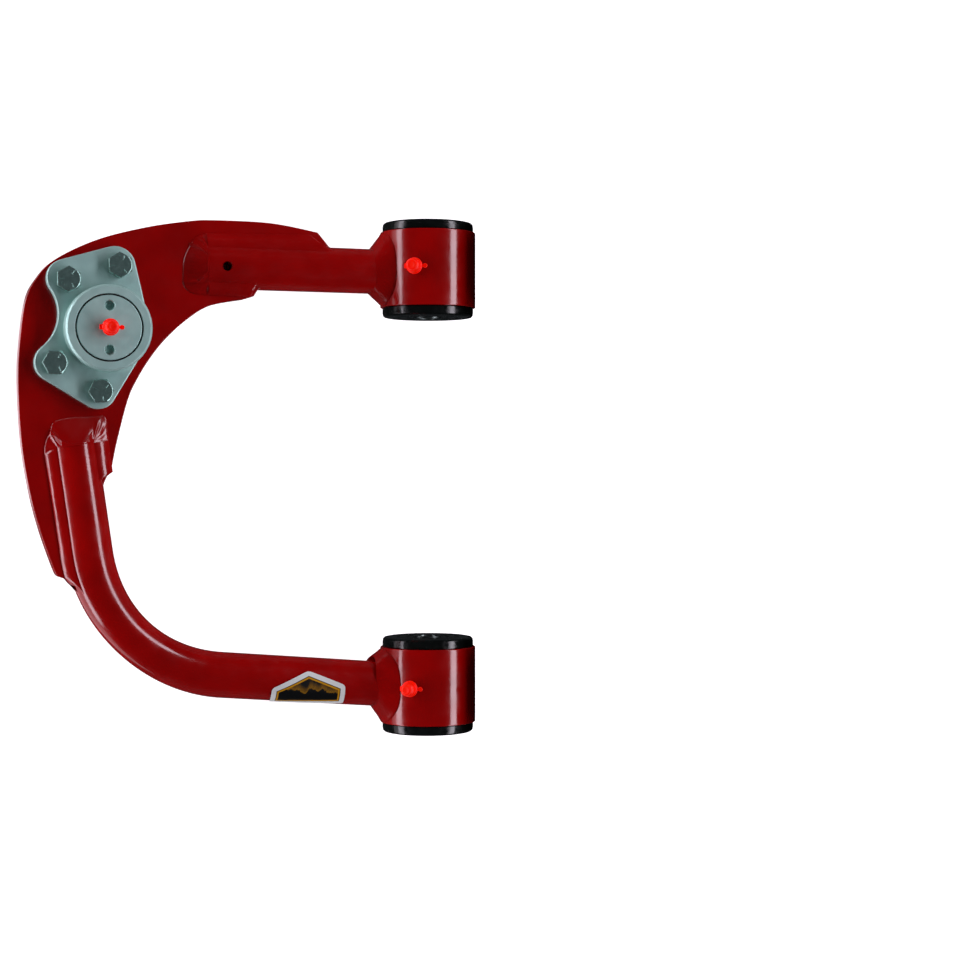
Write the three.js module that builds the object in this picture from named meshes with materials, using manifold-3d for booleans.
// Fabricated upper control arm for an independent front suspension, in millimetres, +Z up.
// The origin is the midpoint of the pivot axis. Y runs along the pivot axis, towards the front
// bushing; the ball joint is outboard, towards -X; the plate lies in the plane z = 0.
import * as THREE from 'three';
import { mergeVertices } from 'three/addons/utils/BufferGeometryUtils.js';
import Module from 'manifold-3d';

const wasm = await Module();
wasm.setup();

// Driving dimensions
const GAP = 0.3; // between touching pieces
const INCH = 25.4;

const PIVOT_Y = 137.8; // each bushing's centre, from the origin along Y
const SLEEVE = { outer: 1.25 * INCH, inner: 27.4, half: 25, chamfer: 0.8 };
const BUSHING = { flange: 30.25, thick: 6.2, barrel: 27.1, bore: 9.4, groove: 14 };
const CRUSH = { outer: 9, bore: 6.45, half: 32.2, chamfer: 0.8 };

const TUBE = { outer: 14.75, inner: 10.75 };
const FRONT_TUBE_Y = 136;
const REAR_START = { x: -20, y: -138 }; // on the rear tube's centreline, inside the sleeve
const REAR_CORNER = { x: -214.1, y: -120.4 }; // where the two straight legs would cross
const REAR_LEAN = 8.3; // degrees that the outboard leg leans outboard
const REAR_BEND = 94; // centreline bend radius
const REAR_END_Y = 32.5; // foot of the closed end
const FRONT_END_X = -162.5;
const END_RUN = 12; // how far the closed end slopes, from the crown down to the plate
const END_PLATE = 3;
const DRAIN = { x: -139.4, y: 134.8, r: 3 };

const PLATE_HALF = 4.75;
const WELD = { leg: 8, plate: 9.7, height: 5.7, root: 10.3, endToe: 4 };

const BALL_JOINT = { x: -215.6, y: 93.4 };
const BOLTS = [[-24.3, 29.9], [7.6, 39.6], [-32.5, -22.1], [-4.3, -39.3]]; // from the ball joint's axis
const BOLT = { r: 4.76, hole: 5.2, flats: 14.29, head: 6.2, end: -19 };
const NUT = { flats: 14.29, height: 8 };
const WASHER = { outer: 10.3, thick: 2 };
const FLANGE = { thick: 6.2, notch: 26.55, notchAt: 57.25, axis: 171.4 };
const LOBES = [[-25.1, 30.8, 12], [5.4, 39, 12.9], [-32.8, -21.8, 11.8], [-5, -39.4, 11]]; // x, y, radius
const BOSS = { r: 27, height: 10.5, chamfer: 1 };
const BODY = { r: 22, bottom: -19, bore: 18.3 };
const SCREW_CAP = { r: 20.9, spanner: 3.05, spannerAt: 13.9, spannerDeep: 4.5 };
const BALL = { r: 15, z: -2 };
const STUD = { neck: 7, seat: 10, taperTop: 9.6, taperEnd: 8.1, thread: 7, tip: -94 };
const CASTLE = { flats: 22, top: -76.5, height: 14, slot: 3.8, slotDeep: 5 };
const PIN_Z = -87.6;

const FITTING_LEAN = { front: 33, rear: 38 }; // degrees outboard from +Z
const GREASE_CAP = { r: 5.35, cavity: 3.7, height: 8.6, tab: 1.2 };
const LABEL = { x: -86, half: 24.3, apex: 27, shoulder: -13, foot: -72, thick: 0.35 };

// Sides of a round piece: large, middling, small and tiny
const LARGE = 32;
const ROUND = 20;
const SMALL = 14;
const TINY = 8;

const FINISH = {
  red: { color: 0x8f0000, roughness: 0.25, metalness: 0.1 },
  steel: { color: 0x8b9596, roughness: 0.45, metalness: 0.8 },
  zinc: { color: 0x6f7a76, roughness: 0.25, metalness: 1 },
  poly: { color: 0x0b0d0c, roughness: 0.3, metalness: 0 },
  orange: { color: 0xff3311, roughness: 0.4, metalness: 0 },
  white: { color: 0xf2f2f0, roughness: 0.5, metalness: 0 },
};

// Helpers
const rad = THREE.MathUtils.degToRad;

function facingOut(geometry) {
  const bare = geometry.clone();
  bare.deleteAttribute('normal');
  bare.deleteAttribute('uv');
  const merged = mergeVertices(bare, 1e-4);
  const p = merged.attributes.position;
  const index = merged.index.array;
  const corner = [new THREE.Vector3(), new THREE.Vector3(), new THREE.Vector3()];
  let volume = 0;
  for (let i = 0; i < index.length; i += 3) {
    corner.forEach((v, k) => v.fromBufferAttribute(p, index[i + k]));
    volume += corner[0].dot(corner[1].clone().cross(corner[2]));
  }
  if (volume < 0) {
    for (let i = 0; i < index.length; i += 3) {
      [index[i + 1], index[i + 2]] = [index[i + 2], index[i + 1]];
    }
  }
  return merged;
}

function solid(geometry) {
  const shell = facingOut(geometry);
  return new wasm.Manifold(new wasm.Mesh({
    numProp: 3,
    vertProperties: shell.attributes.position.array,
    triVerts: new Uint32Array(shell.index.array),
  }));
}

function geometryOf(body) {
  const mesh = body.getMesh();
  const geometry = new THREE.BufferGeometry();
  geometry.setAttribute('position', new THREE.BufferAttribute(mesh.vertProperties, 3));
  geometry.setIndex(new THREE.BufferAttribute(mesh.triVerts, 1));
  geometry.computeVertexNormals();
  return geometry;
}

// A turned piece: profile is [radius, height] pairs, about the axis named.
function turned(profile, axis = 'z', segments = ROUND) {
  const points = profile.map(([r, h]) => new THREE.Vector2(r, h));
  const geometry = new THREE.LatheGeometry(points, segments);
  if (axis === 'z') geometry.rotateX(Math.PI / 2);
  if (axis === 'x') geometry.rotateZ(-Math.PI / 2);
  return solid(geometry);
}

function cylinder(r, low, high, axis = 'z', segments = ROUND) {
  return turned([[0, low], [r, low], [r, high], [0, high]], axis, segments);
}

function ring(inner, outer, low, high, axis = 'z', segments = ROUND) {
  return turned([[inner, low], [outer, low], [outer, high], [inner, high], [inner, low]], axis, segments);
}

function hexagon(flats, low, high) {
  const geometry = new THREE.CylinderGeometry(flats / Math.sqrt(3), flats / Math.sqrt(3), high - low, 6);
  geometry.rotateX(Math.PI / 2);
  geometry.translate(0, 0, (low + high) / 2);
  return solid(geometry);
}

function box(low, high) {
  const geometry = new THREE.BoxGeometry(high[0] - low[0], high[1] - low[1], high[2] - low[2]);
  geometry.translate((low[0] + high[0]) / 2, (low[1] + high[1]) / 2, (low[2] + high[2]) / 2);
  return solid(geometry);
}

function extruded(shape, low, high, grow = 0, curveSegments = 8) {
  const geometry = new THREE.ExtrudeGeometry(shape, {
    depth: high - low,
    bevelEnabled: grow > 0,
    bevelSize: grow,
    bevelThickness: grow,
    bevelSegments: 1,
    curveSegments,
  });
  geometry.translate(0, 0, low);
  return solid(geometry);
}

// A prism whose section is drawn in the XZ plane, along Y.
function acrossY(points, low, high) {
  const shape = new THREE.Shape(points.map(([x, z]) => new THREE.Vector2(x, z)));
  const geometry = new THREE.ExtrudeGeometry(shape, { depth: high - low, bevelEnabled: false });
  geometry.rotateX(Math.PI / 2);
  geometry.translate(0, high, 0);
  return solid(geometry);
}

// A closed body through a row of rings of points; it joins its last ring to its first, or has ends.
function lofted(rings, closed) {
  const count = rings[0].length;
  const position = rings.flat().flatMap((p) => [p.x, p.y, p.z]);
  const index = [];
  const last = closed ? rings.length : rings.length - 1;
  for (let i = 0; i < last; i += 1) {
    const a = i * count;
    const b = ((i + 1) % rings.length) * count;
    for (let k = 0; k < count; k += 1) {
      const n = (k + 1) % count;
      index.push(a + k, b + k, a + n, a + n, b + k, b + n);
    }
  }
  if (!closed) {
    const end = (rings.length - 1) * count;
    for (let k = 1; k < count - 1; k += 1) {
      index.push(0, k, k + 1);
      index.push(end, end + k + 1, end + k);
    }
  }
  const geometry = new THREE.BufferGeometry();
  geometry.setAttribute('position', new THREE.Float32BufferAttribute(position, 3));
  geometry.setIndex(index);
  return solid(geometry);
}

const arm = new THREE.Group();

function add(name, body, finish, parent = arm) {
  const mesh = new THREE.Mesh(geometryOf(body), new THREE.MeshStandardMaterial(FINISH[finish]));
  mesh.name = name;
  parent.add(mesh);
}

function groupAt(x, y, z = 0, turnY = 0) {
  const group = new THREE.Group();
  group.position.set(x, y, z);
  group.rotation.y = turnY;
  arm.add(group);
  return group;
}

// The tubes: a straight front tube, and a rear tube with one bend.
class BentRun extends THREE.Curve {
  constructor() {
    super();
    const start = new THREE.Vector3(REAR_START.x, REAR_START.y, 0);
    const corner = new THREE.Vector3(REAR_CORNER.x, REAR_CORNER.y, 0);
    this.start = start;
    this.inward = corner.clone().sub(start).normalize();
    this.outward = new THREE.Vector3(-Math.sin(rad(REAR_LEAN)), Math.cos(rad(REAR_LEAN)), 0);
    this.turn = this.inward.angleTo(this.outward);
    const tangent = REAR_BEND * Math.tan(this.turn / 2);
    this.bendStart = corner.clone().addScaledVector(this.inward, -tangent);
    this.bendEnd = corner.clone().addScaledVector(this.outward, tangent);
    const side = new THREE.Vector3(this.inward.y, -this.inward.x, 0);
    this.centre = this.bendStart.clone().addScaledVector(side, REAR_BEND);
    this.first = start.distanceTo(this.bendStart);
    this.bend = REAR_BEND * this.turn;
    this.last = (REAR_END_Y + 12 - this.bendEnd.y) / this.outward.y;
    this.total = this.first + this.bend + this.last;
  }

  getPoint(t, out = new THREE.Vector3()) {
    const s = t * this.total;
    if (s <= this.first) return out.copy(this.start).addScaledVector(this.inward, s);
    if (s >= this.first + this.bend) {
      return out.copy(this.bendEnd).addScaledVector(this.outward, s - this.first - this.bend);
    }
    out.copy(this.bendStart).sub(this.centre);
    out.applyAxisAngle(new THREE.Vector3(0, 0, 1), -(s - this.first) / REAR_BEND);
    return out.add(this.centre);
  }
}

const rearRun = new BentRun();

function rodAlongRear(r) {
  const section = new THREE.Shape();
  section.absarc(0, 0, r, 0, Math.PI * 2);
  return solid(new THREE.ExtrudeGeometry(section, {
    steps: 20, curveSegments: 10, bevelEnabled: false, extrudePath: rearRun,
  }));
}

function rodAlongFront(r) {
  return cylinder(r, FRONT_END_X - 12, -20, 'x').translate([0, FRONT_TUBE_Y, 0]);
}

// A wedge that takes off the closed end beyond its sloping face, set back by inset along the tube.
// It is drawn for a tube that ends towards -X with its foot at x = 0.
function endWedge(inset) {
  const slope = END_RUN / (TUBE.outer - PLATE_HALF);
  const at = (z) => inset + (Math.abs(z) - PLATE_HALF) * slope;
  const top = 24;
  const points = [[-60, top], [at(top), top], [at(0), 0], [at(top), -top], [-60, -top]];
  return acrossY(points, -40, 40);
}

const endTurn = { front: 0, rear: -(90 - REAR_LEAN) };
const rearFootX = rearRun.bendEnd.x - (REAR_END_Y - rearRun.bendEnd.y) * Math.tan(rad(REAR_LEAN));
const endFoot = { front: [FRONT_END_X, FRONT_TUBE_Y, 0], rear: [rearFootX, REAR_END_Y, 0] };

function placedWedge(which, inset) {
  return endWedge(inset).rotate([0, 0, endTurn[which]]).translate(endFoot[which]);
}

const faceInset = (thickness) => thickness * Math.hypot(END_RUN, TUBE.outer - PLATE_HALF) / (TUBE.outer - PLATE_HALF);
const sleeveRod = (y, r) => cylinder(r, y - 60, y + 60, 'y', LARGE);
const rods = { front: rodAlongFront, rear: rodAlongRear };
const pivotY = { front: PIVOT_Y, rear: -PIVOT_Y };

// The plate: a boomerang of 3/8 inch steel with a hole for the ball joint and four bolt holes.
function plateOutline() {
  const shape = new THREE.Shape();
  const through = (points) => shape.splineThru(points.map(([x, y]) => new THREE.Vector2(x, y)));
  shape.moveTo(-232.2, -66.1);
  shape.lineTo(-244.4, -61.9);
  through([[-247.3, -57.5], [-256.1, -32.5], [-262.5, -7.6], [-267.4, 23.5], [-269.4, 60.7], [-268.2, 85.5],
    [-264.7, 110.4], [-258.7, 123.3], [-246.8, 136.2], [-220.9, 149.5], [-190, 158.6], [-161.6, 163.8]]);
  through([[-146, 165], [-116, 165], [-98, 163.4], [-77.2, 159.8]]);
  shape.lineTo(-69, 150.3);
  shape.lineTo(-76, 137);
  shape.lineTo(-117.2, 121.2);
  shape.lineTo(-119.9, 116.9);
  shape.lineTo(-126, 115);
  through([[-148.3, 110.2], [-163.9, 100.5], [-177.9, 87.4], [-187.9, 74.5], [-195.6, 61.7], [-201.2, 49],
    [-207.8, 23.7], [-211, 8]]);
  shape.lineTo(-216, -3);
  shape.lineTo(-224, -30);
  shape.closePath();
  return shape;
}

function plateSolid(grow, half) {
  return extruded(plateOutline(), -half, half, grow, 3);
}

let plate = plateSolid(0, PLATE_HALF);
const jointHole = cylinder(BODY.r + 0.4, -10, 10, 'z', LARGE).translate([BALL_JOINT.x, BALL_JOINT.y, 0]);
plate = plate.subtract(jointHole);
for (const [x, y] of BOLTS) {
  plate = plate.subtract(cylinder(BOLT.hole, -10, 10, 'z', SMALL).translate([BALL_JOINT.x + x, BALL_JOINT.y + y, 0]));
}
add('main_plate', plate, 'red');

// Sleeves, tubes, closed ends and welds
for (const end of ['front', 'rear']) {
  const y = pivotY[end];
  const fittingHole = cylinder(3.7, 20, 40, 'z', TINY).rotate([0, -FITTING_LEAN[end], 0]);
  const c = SLEEVE.chamfer;
  const sleeve = turned([
    [SLEEVE.inner, -SLEEVE.half], [SLEEVE.outer - c, -SLEEVE.half], [SLEEVE.outer, c - SLEEVE.half],
    [SLEEVE.outer, SLEEVE.half - c], [SLEEVE.outer - c, SLEEVE.half], [SLEEVE.inner, SLEEVE.half],
    [SLEEVE.inner, -SLEEVE.half],
  ], 'y', LARGE).subtract(fittingHole);
  add(`${end}_bushing_sleeve`, sleeve, 'red', groupAt(0, y));

  const cope = sleeveRod(y, SLEEVE.outer + GAP);
  const slot = plateSolid(GAP, PLATE_HALF);
  let tube = rods[end](TUBE.outer).subtract(rods[end](TUBE.inner));
  tube = tube.subtract(cope).subtract(slot);
  tube = tube.subtract(placedWedge(end, faceInset(END_PLATE + GAP)));
  if (end === 'front') tube = tube.subtract(cylinder(DRAIN.r, 5, 20, 'z', SMALL).translate([DRAIN.x, DRAIN.y, 0]));
  add(`${end}_tube`, tube, 'red');

  const closing = rods[end](TUBE.outer)
    .intersect(placedWedge(end, faceInset(END_PLATE)))
    .subtract(placedWedge(end, 0));
  const floor = PLATE_HALF + GAP;
  add(`${end}_end_plate_top`, closing.intersect(box([-300, -50, floor], [0, 200, 30])), 'red');
  add(`${end}_end_plate_bottom`, closing.intersect(box([-300, -50, -30], [0, 200, -floor])), 'red');

  // A fillet along the tube and round its closed end, on each face of the plate.
  const inside = rods[end](TUBE.outer + GAP).subtract(placedWedge(end, -faceInset(GAP)));
  const skirt = weldSkirt(end).subtract(inside).intersect(plateSolid(0, 30));
  add(`${end}_tube_weld_top`, skirt.intersect(box([-300, -100, floor], [0, 200, 30])), 'red');
  add(`${end}_tube_weld_bottom`, skirt.intersect(box([-300, -100, -30], [0, 200, -floor])), 'red');

  const collar = sleeveWeld(end).subtract(cope).subtract(rods[end](TUBE.outer + GAP));
  add(`${end}_sleeve_weld`, collar, 'red');
}

// Solid under both plate welds: widest at the plate and rounding in towards the tube's side.
function weldSkirt(end) {
  const half = WELD.root;
  const left = [];
  const right = [];
  const back = WELD.plate - WELD.endToe;
  const [footX, footY] = endFoot[end];
  const towards = end === 'front' ? new THREE.Vector3(-1, 0, 0) : rearRun.outward;
  const points = end === 'front'
    ? [[-60, FRONT_TUBE_Y]]
    : [0.5, 0.58, 0.66, 0.74, 0.82].map((t) => rearRun.getPoint(t)).map((p) => [p.x, p.y]);
  points.push([footX - back * towards.x, footY - back * towards.y]);
  points.forEach(([x, y], i) => {
    const [bx, by] = points[Math.max(i - 1, 0)];
    const [ax, ay] = points[Math.min(i + 1, points.length - 1)];
    const length = Math.hypot(ax - bx, ay - by);
    const nx = (ay - by) / length;
    const ny = -(ax - bx) / length;
    left.push(new THREE.Vector2(x - nx * half, y - ny * half));
    right.unshift(new THREE.Vector2(x + nx * half, y + ny * half));
  });
  const shape = new THREE.Shape([...left, ...right]);
  const geometry = new THREE.ExtrudeGeometry(shape, {
    depth: 2 * PLATE_HALF,
    bevelEnabled: true,
    bevelSize: WELD.plate,
    bevelThickness: WELD.height,
    bevelSegments: 3,
  });
  geometry.translate(0, 0, -PLATE_HALF);
  return solid(geometry);
}

// The fillet round a tube where it meets its sleeve, drawn about the tube's axis.
function sleeveWeld(end) {
  const y = end === 'front' ? FRONT_TUBE_Y : rearRun.getPoint(0.05).y;
  const onSleeve = (z) => Math.sqrt((SLEEVE.outer + 0.1) ** 2 - z * z);
  const rings = [];
  const steps = ROUND;
  for (let i = 0; i < steps; i += 1) {
    const angle = (i / steps) * Math.PI * 2;
    const at = (w, x) => new THREE.Vector3(x, y + w * Math.cos(angle), w * Math.sin(angle));
    const seam = onSleeve(TUBE.outer * Math.sin(angle));
    const toe = TUBE.outer + WELD.leg;
    const far = onSleeve(toe * Math.sin(angle));
    rings.push([
      at(TUBE.outer - 0.5, -seam + 1),
      at(TUBE.outer - 0.5, -seam - WELD.leg),
      at(TUBE.outer + 0.45 * WELD.leg, -(seam + far) / 2 - 0.62 * WELD.leg),
      at(toe, -far),
      at(toe - 1, -far + 1.5),
    ]);
  }
  return lofted(rings, true);
}

// Bushings: a polyurethane half from each side, and the steel crush sleeve that turns in them.
for (const end of ['front', 'rear']) {
  const place = groupAt(0, pivotY[end]);
  const face = SLEEVE.half + GAP;
  const half = (side) => turned([
    [BUSHING.bore, GAP / 2], [BUSHING.barrel, GAP / 2], [BUSHING.barrel, face], [BUSHING.flange, face],
    [BUSHING.flange, face + BUSHING.thick - 1.2], [BUSHING.flange - 1.2, face + BUSHING.thick],
    [BUSHING.groove + 1, face + BUSHING.thick], [BUSHING.groove, face + BUSHING.thick - 1],
    [BUSHING.groove - 1, face + BUSHING.thick], [BUSHING.bore, face + BUSHING.thick],
    [BUSHING.bore, GAP / 2],
  ].map(([r, h]) => [r, side * h]), 'y', ROUND + 4);
  add(`${end}_bushing_fore_half`, half(1), 'poly', place);
  add(`${end}_bushing_aft_half`, half(-1), 'poly', place);
  const c = CRUSH.chamfer;
  add(`${end}_crush_sleeve`, turned([
    [CRUSH.bore, c - CRUSH.half], [CRUSH.bore + c, -CRUSH.half], [CRUSH.outer, -CRUSH.half],
    [CRUSH.outer, CRUSH.half], [CRUSH.bore + c, CRUSH.half], [CRUSH.bore, CRUSH.half - c],
    [CRUSH.bore, c - CRUSH.half],
  ], 'y'), 'steel', place);
}

// Grease fittings with their check balls and pull-off caps, each on its own seat, along local Z.
function greaseFitting(name, group, shank) {
  const hole = 0.9;
  const bored = turned([
    [hole, -shank], [3.1, -shank], [3.1, 0.2], [4.1, 0.3], [4.1, 2.4], [2.2, 3], [2.2, 4.6],
    [3.1, 5.4], [2.6, 7], [1.5, 7.7], [1.5, 5.4], [hole, 4.6], [hole, -shank],
  ], 'z', TINY);
  const hex = hexagon(8, 0.3, 2.4).subtract(cylinder(3.9, 0, 3, 'z', TINY));
  add(`${name}_grease_fitting`, bored.add(hex), 'zinc', group);
  const ball = new THREE.SphereGeometry(1.15, 8, 6);
  ball.translate(0, 0, 6.4);
  add(`${name}_check_ball`, solid(ball), 'steel', group);
  const { r, cavity, height, tab } = GREASE_CAP;
  const base = 2.4 + GAP;
  let cap = turned([
    [cavity, base], [r, base], [r, base + 1.4], [r - 0.9, base + 2], [r - 1, base + height - 3.2],
    [r - 2, base + height - 1.2], [0, base + height], [0, 8.1], [cavity, 8.1], [cavity, base],
  ], 'z', SMALL);
  const pull = box([r - 1, -0.95, base], [r + 2, 0.95, base + tab])
    .add(cylinder(1.5, base, base + tab, 'z', TINY).translate([r + 1.8, 0, 0]));
  const stub = box([-r - 1.4, -1.6, base], [-r + 1, 1.6, base + tab]);
  cap = cap.add(pull).add(stub);
  add(`${name}_grease_cap`, cap, 'orange', group);
}

for (const end of ['front', 'rear']) {
  const lean = rad(FITTING_LEAN[end]);
  const x = -SLEEVE.outer * Math.sin(lean);
  const z = SLEEVE.outer * Math.cos(lean);
  greaseFitting(end, groupAt(x, pivotY[end], z, -lean), 3.6);
}

// The ball joint, about its own vertical axis
const joint = groupAt(BALL_JOINT.x, BALL_JOINT.y);
const seat = PLATE_HALF + GAP;
const flangeTop = seat + FLANGE.thick;
const bossTop = flangeTop + BOSS.height;

// Circles are [x, y, radius]: where the line that touches two of them, on the right of the way from a to b,
// leaves each.
function tangentAngle(a, b) {
  const dx = b[0] - a[0];
  const dy = b[1] - a[1];
  return Math.atan2(dy, dx) - Math.acos((a[2] - b[2]) / Math.hypot(dx, dy));
}

function flangeOutline() {
  const boss = [0, 0, BOSS.r];
  const [lobe1, lobe2, lobe3, lobe4] = LOBES;
  const axis = rad(FLANGE.axis);
  const notch = [FLANGE.notchAt * Math.cos(axis), FLANGE.notchAt * Math.sin(axis), FLANGE.notch];
  const facing = (from, to) => Math.atan2(to[1] - from[1], to[0] - from[0]);
  const shape = new THREE.Shape();
  shape.absarc(...boss, tangentAngle(lobe4, boss), tangentAngle(boss, lobe2), false);
  shape.absarc(...lobe2, tangentAngle(boss, lobe2), tangentAngle(lobe2, lobe1), false);
  shape.absarc(...lobe1, tangentAngle(lobe2, lobe1), facing(lobe1, notch), false);
  shape.absarc(...notch, facing(notch, lobe1), facing(notch, lobe3), true);
  shape.absarc(...lobe3, facing(lobe3, notch), tangentAngle(lobe3, lobe4), false);
  shape.absarc(...lobe4, tangentAngle(lobe3, lobe4), tangentAngle(lobe4, boss), false);
  return shape;
}

const lip = BALL.z - BALL.r * Math.cos(rad(56)) + 0.4;
const cupBottom = lip - GAP;
const cupTop = BALL.z + BALL.r + 1.6;
const capBottom = cupTop + GAP;
let housing = extruded(flangeOutline(), seat, flangeTop, 0, 4);
housing = housing.add(turned([
  [0, BODY.bottom], [BODY.r - 1, BODY.bottom], [BODY.r, BODY.bottom + 1], [BODY.r, seat],
  [BOSS.r, seat], [BOSS.r, bossTop - BOSS.chamfer], [BOSS.r - BOSS.chamfer, bossTop], [0, bossTop],
], 'z', LARGE));
housing = housing.subtract(turned([
  [0, BODY.bottom - 1], [17.6, BODY.bottom - 1], [12.7, cupBottom], [BODY.bore, cupBottom],
  [BODY.bore, capBottom], [SCREW_CAP.r + GAP, capBottom], [SCREW_CAP.r + GAP, bossTop - 3.4],
  [SCREW_CAP.r + 1.2, bossTop - 3.4], [SCREW_CAP.r + 1.2, bossTop + 1], [0, bossTop + 1],
], 'z', LARGE));
for (const [x, y] of BOLTS) {
  housing = housing.subtract(cylinder(BOLT.hole, 0, 15, 'z', SMALL).translate([x, y, 0]));
}
add('ball_joint_housing', housing, 'steel', joint);

let screwCap = cylinder(SCREW_CAP.r, capBottom + GAP, bossTop - 0.1, 'z', LARGE);
screwCap = screwCap.subtract(cylinder(3.5, 0, 40, 'z', TINY));
screwCap = screwCap.subtract(cylinder(SCREW_CAP.r + 2, bossTop - 3.4, 40, 'z', LARGE)
  .subtract(cylinder(SCREW_CAP.r - 0.5, 0, 50, 'z', LARGE)));
for (const side of [-1, 1]) {
  screwCap = screwCap.subtract(cylinder(SCREW_CAP.spanner, bossTop - SCREW_CAP.spannerDeep, 40, 'z', SMALL)
    .translate([0, side * SCREW_CAP.spannerAt, 0]));
}
add('ball_joint_screw_cap', screwCap, 'steel', joint);
add('screw_cap_seal', ring(SCREW_CAP.r - 0.2, SCREW_CAP.r + 0.9, bossTop - 3.1, bossTop - 0.8, 'z', LARGE), 'poly', joint);

const socket = () => {
  const ball = new THREE.SphereGeometry(BALL.r + 0.6, ROUND, 12);
  ball.rotateX(Math.PI / 2);
  ball.translate(0, 0, BALL.z);
  return solid(ball);
};
const cupOuter = BODY.bore - GAP;
const cupBlank = (low, high) => cylinder(cupOuter, low, high, 'z', LARGE);
const oilHole = cylinder(1.6, 0, 30, 'z', TINY);
add('bearing_cup_upper', cupBlank(BALL.z + GAP / 2, cupTop).subtract(socket()).subtract(oilHole), 'white', joint);
add('bearing_cup_lower', cupBlank(lip, BALL.z - GAP / 2).subtract(socket()), 'white', joint);

// The ball stud: one forging with its ball, a neck, a seat for the boot, a taper and a thread.
const neckAngle = Math.asin(STUD.neck / BALL.r);
const studProfile = [[0, BALL.z + BALL.r]];
const ballSteps = 9;
for (let i = 1; i <= ballSteps; i += 1) {
  const angle = (i / ballSteps) * (Math.PI - neckAngle);
  studProfile.push([BALL.r * Math.sin(angle), BALL.z + BALL.r * Math.cos(angle)]);
}
studProfile.push(
  [STUD.neck, -36], [STUD.seat, -42], [STUD.seat, -50], [STUD.taperTop, -50.6], [STUD.taperEnd, -72],
  [STUD.thread, -73], [STUD.thread, STUD.tip + 1.5], [STUD.thread - 1.5, STUD.tip], [0, STUD.tip],
);
const pinHole = cylinder(1.75, -20, 20, 'x', TINY).translate([0, 0, PIN_Z]);
add('ball_stud', turned(studProfile.reverse()).subtract(pinHole), 'zinc', joint);

const castleBottom = CASTLE.top - CASTLE.height;
let castle = hexagon(CASTLE.flats, castleBottom + 5, CASTLE.top)
  .add(cylinder(CASTLE.flats / 2 - 0.6, castleBottom, castleBottom + 5.2, 'z', SMALL))
  .subtract(cylinder(STUD.thread + GAP, -100, -60));
for (const angle of [0, 60, 120]) {
  castle = castle.subtract(box(
    [-15, -CASTLE.slot / 2, castleBottom - 1],
    [15, CASTLE.slot / 2, castleBottom + CASTLE.slotDeep],
  ).rotate([0, 0, angle]));
}
add('castle_nut', castle, 'zinc', joint);

const eye = new THREE.TorusGeometry(2.3, 1.1, 5, TINY);
eye.rotateX(Math.PI / 2);
eye.translate(-15.4, 0, PIN_Z);
const leg = (angle) => cylinder(0.8, 0, 7, 'z', TINY).rotate([0, angle, 0]).translate([12.6, 0, PIN_Z]);
const cotter = cylinder(1.35, -14, 13, 'x', TINY).translate([0, 0, PIN_Z]).add(solid(eye)).add(leg(8)).add(leg(172));
add('cotter_pin', cotter, 'steel', joint);

// The dust boot: its rings meet on spheres about the ball's centre, so that they clear each other
// as the stud tilts.
const onSphere = (r, angle) => [r * Math.sin(rad(angle)), BALL.z - r * Math.cos(rad(angle))];
const shell = (profile) => turned([...profile, profile[0]]);
add('boot_collar', ring(BODY.r + GAP, 24.3, -19.3, -10, 'z', LARGE), 'poly', joint);
add('boot_waist', shell([onSphere(30.4, 45), onSphere(30.4, 50), onSphere(34, 42), onSphere(34, 38)]), 'poly', joint);
add('boot_cone', shell([
  onSphere(34.4, 37.5), onSphere(34.4, 41.5), [20, -36], [15.5, -42.5], [12.8, -44.5], [12.8, -50],
  [STUD.seat + GAP, -50], [STUD.seat + GAP, -43.6], [13.4, -41], [17.8, -35.2],
]), 'poly', joint);

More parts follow.
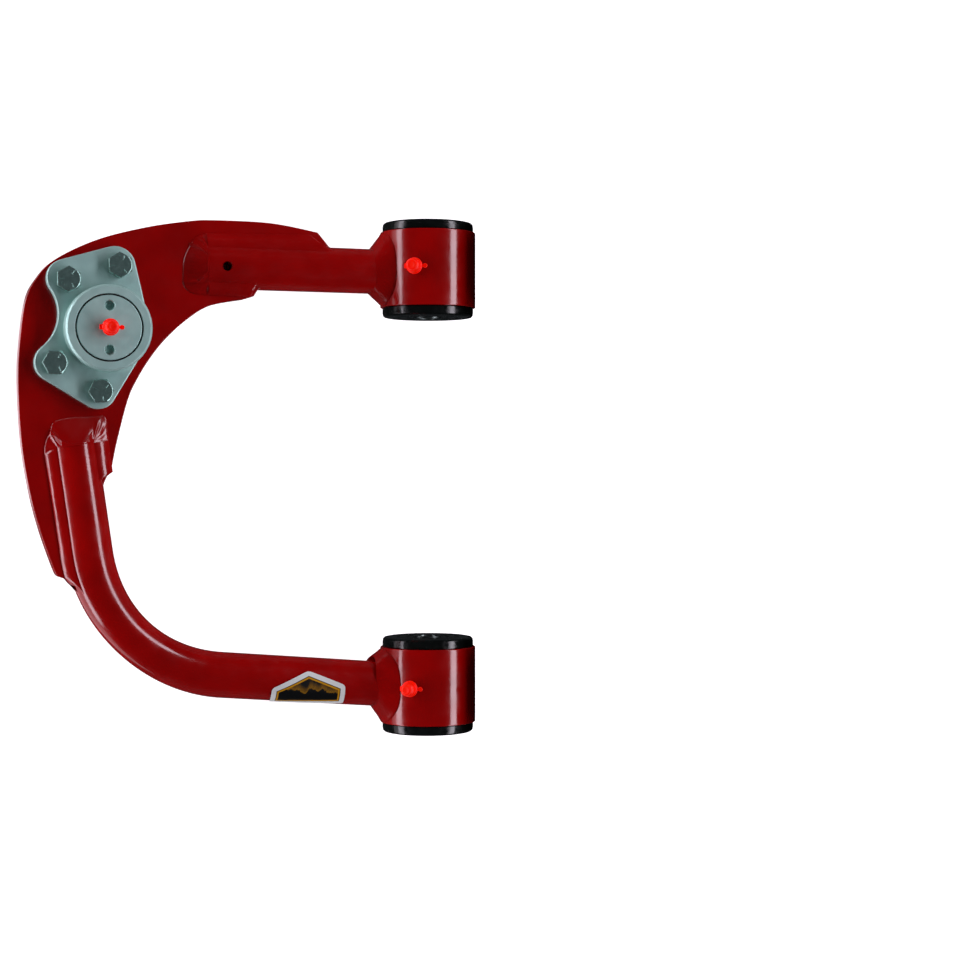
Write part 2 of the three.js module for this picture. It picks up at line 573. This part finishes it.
function wireRing(name, r, z, wire) {
  const geometry = new THREE.TorusGeometry(r + wire + GAP, wire, 5, ROUND);
  geometry.translate(0, 0, z);
  add(name, solid(geometry), 'steel', joint);
}
wireRing('boot_ring_upper', 24.3, -14, 0.7);
wireRing('boot_ring_lower', 12.8, -47.4, 0.7);

BOLTS.forEach(([x, y], i) => {
  const place = new THREE.Group();
  place.position.set(x, y, 0);
  joint.add(place);
  const head = flangeTop + GAP;
  const bolt = hexagon(BOLT.flats, head, head + BOLT.head).add(cylinder(BOLT.r, BOLT.end, head + 1, 'z', SMALL));
  add(`flange_bolt_${i + 1}`, bolt, 'zinc', place);
  const under = -PLATE_HALF - GAP;
  add(`flange_washer_${i + 1}`, ring(BOLT.r + GAP, WASHER.outer, under - WASHER.thick, under, 'z', SMALL), 'zinc', place);
  const nutTop = under - WASHER.thick - GAP;
  const nut = hexagon(NUT.flats, nutTop - NUT.height, nutTop).subtract(cylinder(BOLT.r + GAP, -30, 0, 'z', SMALL));
  add(`flange_nut_${i + 1}`, nut, 'zinc', place);
});

const capGroup = groupAt(BALL_JOINT.x, BALL_JOINT.y, bossTop);
greaseFitting('ball_joint', capGroup, 5);

// A hexagonal badge wrapped round the rear tube's inboard leg: apex, two shoulders and straight sides.
function badge() {
  const inner = TUBE.outer + GAP;
  const outer = inner + LABEL.thick;
  const lean = Math.atan2(rearRun.inward.y, -rearRun.inward.x);
  const centreY = REAR_START.y + (REAR_START.x - LABEL.x) * Math.tan(lean);
  const rings = [];
  const steps = 14;
  for (let i = 0; i <= steps; i += 1) {
    const angle = LABEL.apex + ((LABEL.foot - LABEL.apex) * i) / steps;
    const opening = Math.min(1, (LABEL.apex - angle) / (LABEL.apex - LABEL.shoulder));
    const half = Math.max(0.6, LABEL.half * opening);
    const at = (side, r) => new THREE.Vector3(side * half, r * Math.sin(rad(angle)), r * Math.cos(rad(angle)));
    rings.push([at(-1, inner), at(1, inner), at(1, outer), at(-1, outer)]);
  }
  return lofted(rings, false).rotate([0, 0, -THREE.MathUtils.radToDeg(lean)]).translate([LABEL.x, centreY, 0]);
}
add('badge_label', badge(), 'white');

export default arm;
